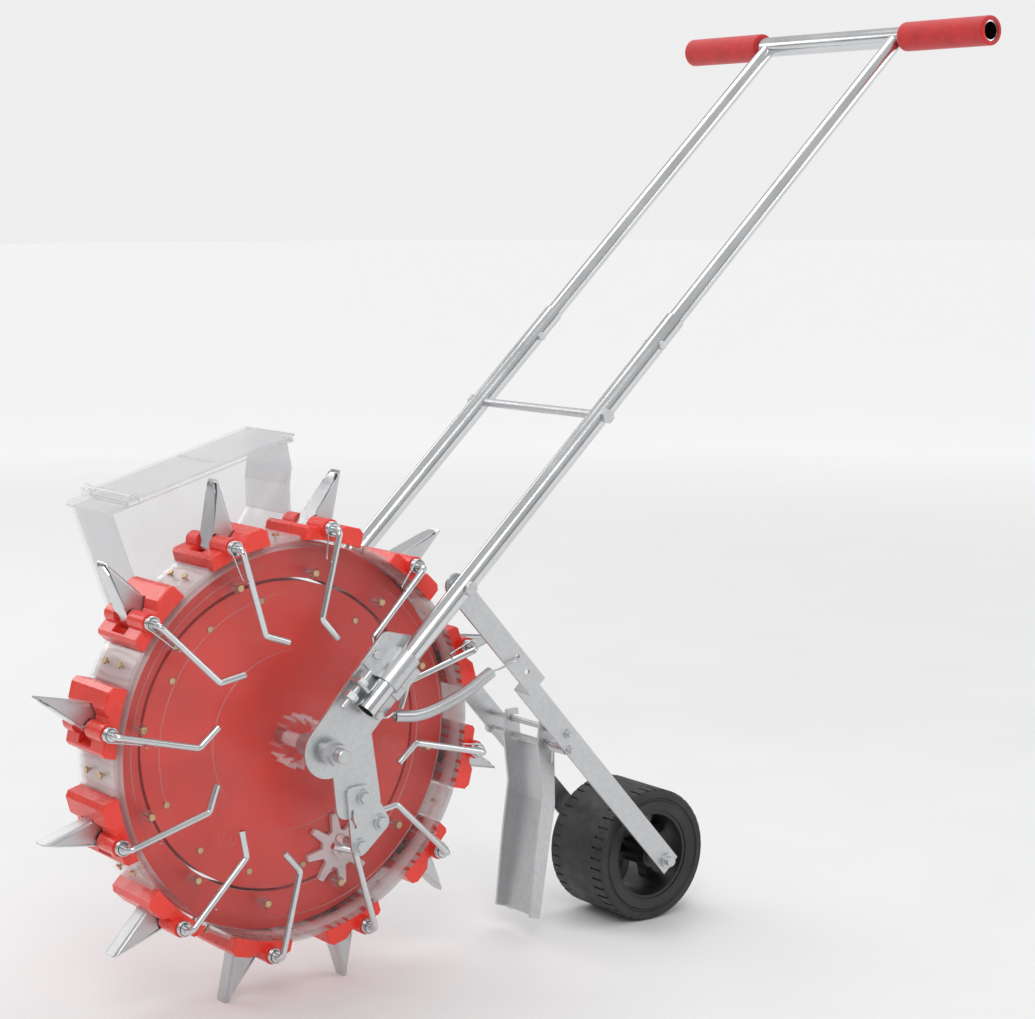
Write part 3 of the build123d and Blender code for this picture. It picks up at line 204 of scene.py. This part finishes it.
STEEL = (0.60, 0.61, 0.62)
looks = {
    "zinc": metal("zinc", (0.60, 0.61, 0.62), (0.34, 0.46), spangle=320),
    "chrome": metal("chrome", (0.66, 0.67, 0.68), (0.12, 0.24), bump=0.05),
    "stainless": metal("stainless", STEEL, (0.30, 0.46), streak=(1, 9, 1)),
    "brass": metal("brass", (0.62, 0.47, 0.27), (0.22, 0.4)),
    "red_plastic": red_plastic("red_plastic", (0.84, 0.045, 0.028), 0.22),
    "clear_plastic": clear_plastic("clear_plastic", (0.94, 0.90, 0.90), 0.02, 0.6),
    "white_plastic": red_plastic("white_plastic", (0.88, 0.78, 0.79), 0.3),
}
red_drum = red_plastic("red_drum", (0.84, 0.045, 0.028), 0.28, rings=True)
red_funnel = red_plastic("red_funnel", (0.80, 0.038, 0.024), 0.28)
hopper_clear = clear_plastic("hopper_clear", (0.84, 0.84, 0.86), 0.09, 0.75, rough=0.04)

foam = Surface("foam", edge=0, Sheen_Weight=0.35, Sheen_Roughness=0.5)
foam.colour(foam.noise(70, 6), shades((0.56, 0.012, 0.014), 0.8, 1.0, 1.12))
foam.rough(foam.noise(300, 4), 0.72, 0.9)
foam.bump(foam.noise(1500, 3, roughness=0.7), 0.5, 0.35 * MM)
looks["foam"] = foam.material

tyre = Surface("tyre", edge=0.5 * MM)
tyre.colour(tyre.noise(30, 5), shades((0.022, 0.022, 0.023), 0.7, 1.0, 1.5))
tyre.rough(tyre.noise(90, 5), 0.42, 0.62)
tyre.bump(tyre.noise(700, 4), 0.2, 0.2 * MM)
looks["tyre"] = tyre.material

black = Surface("black_plastic", edge=0.5 * MM)
black.colour(black.noise(30, 5), shades((0.014, 0.014, 0.015), 0.7, 1.0, 1.4))
black.rough(black.noise(80, 5), 0.32, 0.5)
black.bump(black.noise(500, 3), 0.12, 0.15 * MM)
looks["black_plastic"] = black.material

own_look = {"seed_drum": red_drum, "funnel_ring": red_funnel, "hopper": hopper_clear,
            "hopper_lid": hopper_clear}
slot_of = {part["node"]: part["material_slot"] for part in frame["record"]["subparts"]}
for name, thing in frame["nodes"].items():
    thing.data.materials.clear()
    thing.data.materials.append(own_look.get(name, looks[slot_of[name]]))


# --- wire and springs --------------------------------------------------------------------------
def new_mesh(name, verts, faces, look, smooth=True):
    mesh = bpy.data.meshes.new(name)
    mesh.from_pydata(verts, [], faces)
    mesh.validate()
    mesh.materials.append(looks[look])
    for face in mesh.polygons:
        face.use_smooth = smooth
    thing = bpy.data.objects.new(name, mesh)
    bpy.context.scene.collection.objects.link(thing)
    return thing


def wire(path, radius, sides=8):
    """Vertices and faces of a round wire along a path, with closed ends."""
    path = np.array([tuple(p) for p in path])
    ahead = np.gradient(path, axis=0)
    ahead /= np.linalg.norm(ahead, axis=1)[:, None]
    across = np.cross(ahead[0], (0.31, 0.52, 0.79))
    verts = []
    for point, way in zip(path, ahead):
        across = across - way * across.dot(way)
        across /= np.linalg.norm(across)
        other = np.cross(way, across)
        for i in range(sides):
            turn = math.tau * i / sides
            verts.append(tuple(point + radius * (math.cos(turn) * across + math.sin(turn) * other)))
    faces = []
    for ring in range(len(path) - 1):
        for i in range(sides):
            j = (i + 1) % sides
            faces.append((ring * sides + i, ring * sides + j, (ring + 1) * sides + j, (ring + 1) * sides + i))
    faces.append(tuple(reversed(range(sides))))
    faces.append(tuple(range((len(path) - 1) * sides, len(path) * sides)))
    return verts, faces


def join(pieces):
    verts, faces = [], []
    for some_verts, some_faces in pieces:
        start = len(verts)
        verts += some_verts
        faces += [tuple(start + i for i in face) for face in some_faces]
    return verts, faces


def smooth_path(points, steps=8):
    """Catmull-Rom curve through the points."""
    points = [Vector(p) for p in points]
    padded = [2 * points[0] - points[1], *points, 2 * points[-1] - points[-2]]
    made = []
    for a, b, c, d in zip(padded, padded[1:], padded[2:], padded[3:]):
        for i in range(steps):
            t = i / steps
            made.append(0.5 * (2 * b + (c - a) * t + (2 * a - 5 * b + 4 * c - d) * t * t
                               + (3 * b - a - 3 * c + d) * t ** 3))
    return made + [points[-1]]


def coil(middle, along, radius, pitch, turns, start_way, steps=14):
    """Points of a helix about the line `along` from `middle`, starting on the side start_way."""
    other = along.cross(start_way)
    made = []
    for i in range(int(turns * steps) + 1):
        turn = math.tau * i / steps
        made.append(middle + along * (pitch * i / steps)
                    + radius * (math.cos(turn) * start_way + math.sin(turn) * other))
    return made


def turned(vector, angle):
    """A vector in the side plane turned about the near direction."""
    return Matrix.Rotation(angle, 3, NEAR) @ vector


# Hairpin springs on the flap pivots.
PIVOT_LEAN = math.atan2(17.4, 204.3)
COIL_R = 6.7 * MM
COIL_WIRE = 0.75 * MM
COIL_PITCH = 1.62 * MM
COIL_TURNS = 3.25
COIL_START = 43.9 * MM          # from the pivot's middle towards the near side
springs = []
for number in range(1, SPOUTS + 1):
    pivot = joint_at[f"flap_{number:02d}_hinge"]
    outward = turned((pivot - AXLE).normalized(), -PIVOT_LEAN)
    across = turned(outward, math.pi / 2)
    start = pivot + NEAR * COIL_START
    turns = coil(start, NEAR, COIL_R, COIL_PITCH, COIL_TURNS, outward)
    last = turns[-1]
    leg = [last - outward * 7 * MM - across * 0.6 * MM + NEAR * 1.2 * MM,
           pivot - outward * 24 * MM + across * 4.6 * MM + NEAR * 52.6 * MM,
           pivot - outward * 29 * MM + across * 4.5 * MM + NEAR * 54.5 * MM,
           pivot - outward * 30.3 * MM + across * 4.6 * MM + NEAR * 60 * MM,
           pivot - outward * 30.3 * MM + across * 4.9 * MM + NEAR * 63.4 * MM]
    springs.append(wire(turns[:-1] + smooth_path([last, *leg], 5), COIL_WIRE, 6))
lever_springs = new_mesh("lever_spring_coils", *join(springs), "chrome")
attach(lever_springs, "wheel")
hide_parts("lever_springs")

# The close-wound extension spring from the side plate to the rear arm.
SPRING_R = 5.0 * MM
SPRING_WIRE = 1.0 * MM
SPRING_PITCH = 2.05 * MM


def beside_axle(x, y, z):
    return Vector((AXLE.x + x * MM, y * MM, AXLE.z + z * MM))


sag = smooth_path([beside_axle(70, -98, 26), beside_axle(96, -98, 23.5), beside_axle(124, -98, 29),
                   beside_axle(154, -97, 39.5), beside_axle(184, -96, 55)], 40)
length = sum((b - a).length for a, b in zip(sag, sag[1:]))
travelled = [0.0]
for a, b in zip(sag, sag[1:]):
    travelled.append(travelled[-1] + (b - a).length)
STEPS = 14
count = int(length / SPRING_PITCH * STEPS)
sag_array = np.array([tuple(p) for p in sag])
wound = []
for i in range(count + 1):
    where = length * i / count
    point = Vector([np.interp(where, travelled, sag_array[:, axis]) for axis in range(3)])
    ahead = Vector([np.interp(min(where + MM, length), travelled, sag_array[:, axis]) for axis in range(3)]) \
        - Vector([np.interp(max(where - MM, 0), travelled, sag_array[:, axis]) for axis in range(3)])
    ahead.normalize()
    side_way = ahead.cross(Vector((0, 1, 0))).normalized()
    up_way = ahead.cross(side_way)
    turn = math.tau * i / STEPS
    wound.append(point + SPRING_R * (math.cos(turn) * side_way + math.sin(turn) * up_way))
screw = beside_axle(53.1, -93, 28.2)
HOOK_R = 3.7 * MM
near_hook = [screw + HOOK_R * turned(HANDLE, math.radians(a)) for a in range(200, -61, -20)]
near_hook = near_hook + [screw + Vector((9.5, -2.4, -3.0)) * MM]
near_hook.append(wound[0])
arm_hole = beside_axle(219.3, -92, 64.5)
far_hook = [wound[-1], wound[-1].lerp(arm_hole, 0.3) + Vector((0, -1.2, -1.5)) * MM,
            arm_hole + Vector((-10, -2.5, -4)) * MM, arm_hole + Vector((-2, 0, -1)) * MM,
            arm_hole + Vector((0.3, 3.2, 0)) * MM, arm_hole + Vector((0, 7.5, -0.4)) * MM]
line = smooth_path(near_hook, 6)[:-1] + wound[1:-1] + smooth_path(far_hook, 8)
tension = new_mesh("tension_spring_coil", *wire(line, SPRING_WIRE, 7), "chrome")
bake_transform(tension)
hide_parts("tension_spring")

# The coverer's torsion spring on its lower pin.
hinge = joint_at["coverer_tilt"]
TORSION_R = 4.6 * MM
TORSION_WIRE = 1.3 * MM
TORSION_PITCH = 2.95 * MM
TORSION_TURNS = 8.25
turns = coil(hinge + NEAR * 61 * MM, -NEAR, TORSION_R, TORSION_PITCH, TORSION_TURNS, Vector((1, 0, 0)), 18)
tail = [turns[-1] + Vector((1.2, 2.0, -7)) * MM, turns[-1] + Vector((2.0, 3.5, -16)) * MM]
lead = [turns[0] + Vector((0.4, -1.5, 14)) * MM, turns[0] + Vector((0, -0.6, 6)) * MM]
torsion_path = smooth_path([*lead, turns[0]], 5)[:-1] + turns + smooth_path([turns[-1], *tail], 5)[1:]
torsion = new_mesh("coverer_spring_coil", *wire(torsion_path, TORSION_WIRE), "chrome")
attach(torsion, "coverer")
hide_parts("coverer_spring")


# --- stage, light and camera ---------------------------------------------------------------------
def soft_light(name, place, aim, size, power):
    data = bpy.data.lights.new(name, "AREA")
    data.shape = "RECTANGLE"
    data.size, data.size_y = size
    data.energy = power
    thing = bpy.data.objects.new(name, data)
    thing.location = place
    thing.rotation_euler = (Vector(aim) - Vector(place)).to_track_quat("-Z", "Y").to_euler()
    bpy.context.scene.collection.objects.link(thing)


# FADE_START, FADE_END and FAR_GLOW set the painted light on the floor: where its glow starts, where it is full,
# and how strong it gets.
FLOOR_HALF = 40
FADE_START = 1.2
FADE_END = 5.0
FAR_GLOW = 0.43
SKY_LIGHT = 0.62
BACKDROP = (0.86, 0.86, 0.865)      # what the camera sees behind the floor
floor_mesh = bpy.data.meshes.new("floor")
floor_mesh.from_pydata([(x * FLOOR_HALF, y * FLOOR_HALF, 0) for x, y in ((-1, -1), (1, -1), (1, 1), (-1, 1))],
                       [], [(0, 1, 2, 3)])
floor = bpy.data.objects.new("floor", floor_mesh)
floor_look = Surface("floor", edge=0)
floor_look.colour(floor_look.noise(3, 3), shades((0.88, 0.88, 0.885), 0.99, 1.0, 1.01))
floor_look.rough(floor_look.noise(6, 3), 0.5, 0.6)
# Far from the object the floor brightens with painted light, a glow in the backdrop colour that grows with
# distance, until it meets the backdrop with no horizon line.
away = node(floor_look.tree, "ShaderNodeVectorMath", operation="LENGTH")
link(floor_look.tree, floor_look.place, away.inputs[0])
floor_look.bsdf.inputs["Emission Color"].default_value = BACKDROP + (1,)
link(floor_look.tree, spread(floor_look.tree, away.outputs["Value"], 0, FAR_GLOW, FADE_START, FADE_END),
     floor_look.bsdf.inputs["Emission Strength"])
floor_mesh.materials.append(floor_look.material)
bpy.context.scene.collection.objects.link(floor)

# A studio sky for reflections: bright overhead, greyer towards the horizon, with soft broad panels.
world = bpy.data.worlds.new("studio")
world.use_nodes = True
sky = world.node_tree
backdrop = sky.nodes["Background"]
where = node(sky, "ShaderNodeTexCoord").outputs["Generated"]
parts = node(sky, "ShaderNodeSeparateXYZ")
link(sky, where, parts.inputs["Vector"])
panels = node(sky, "ShaderNodeTexNoise", Scale=1.6, Detail=1.0)
link(sky, where, panels.inputs["Vector"])
height = node(sky, "ShaderNodeMath", operation="MULTIPLY_ADD")
link(sky, panels.outputs["Fac"], height.inputs[0])
height.inputs[1].default_value = 0.9
link(sky, parts.outputs["Z"], height.inputs[2])
grey = ramp(sky, height.outputs["Value"], [(0.25, (0.16, 0.165, 0.17)), (0.5, (0.42, 0.425, 0.43)),
                                           (0.75, (0.86, 0.87, 0.88)), (1.0, (1.0, 1.0, 1.0))])
seen = node(sky, "ShaderNodeLightPath").outputs["Is Camera Ray"]
pick = node(sky, "ShaderNodeMix", data_type="RGBA")
link(sky, seen, pick.inputs["Factor"])
link(sky, grey, pick.inputs[6])
pick.inputs[7].default_value = tuple(shade / SKY_LIGHT for shade in BACKDROP) + (1,)
link(sky, pick.outputs[2], backdrop.inputs["Color"])
backdrop.inputs["Strength"].default_value = SKY_LIGHT
bpy.context.scene.world = world
bpy.context.scene.view_settings.view_transform = "Standard"
middle = (0, 0, 0.45)
soft_light("key", (-1.6, -2.4, 2.6), middle, (1.6, 1.6), 36)
soft_light("fill", (2.6, -2.0, 1.4), middle, (1.4, 2.0), 13)
soft_light("top", (0.4, 0.6, 3.0), middle, (2.2, 1.4), 24)
soft_light("back", (-0.8, 2.8, 1.8), middle, (2.0, 1.2), 16)

FOCAL_PX = 2380
FRAME_WIDTH_PX = 1035
camera = bpy.data.cameras.new("camera")
camera.sensor_width = 36
camera.lens = FOCAL_PX / FRAME_WIDTH_PX * camera.sensor_width
camera.clip_end = 50
eye = bpy.data.objects.new("camera", camera)
eye.location = beside_axle(-1152, -1944.15, 508)
eye.rotation_euler = Vector((0.5899, 0.7973, -0.1277)).to_track_quat("-Z", "Y").to_euler()
bpy.context.scene.collection.objects.link(eye)
bpy.context.scene.camera = eye
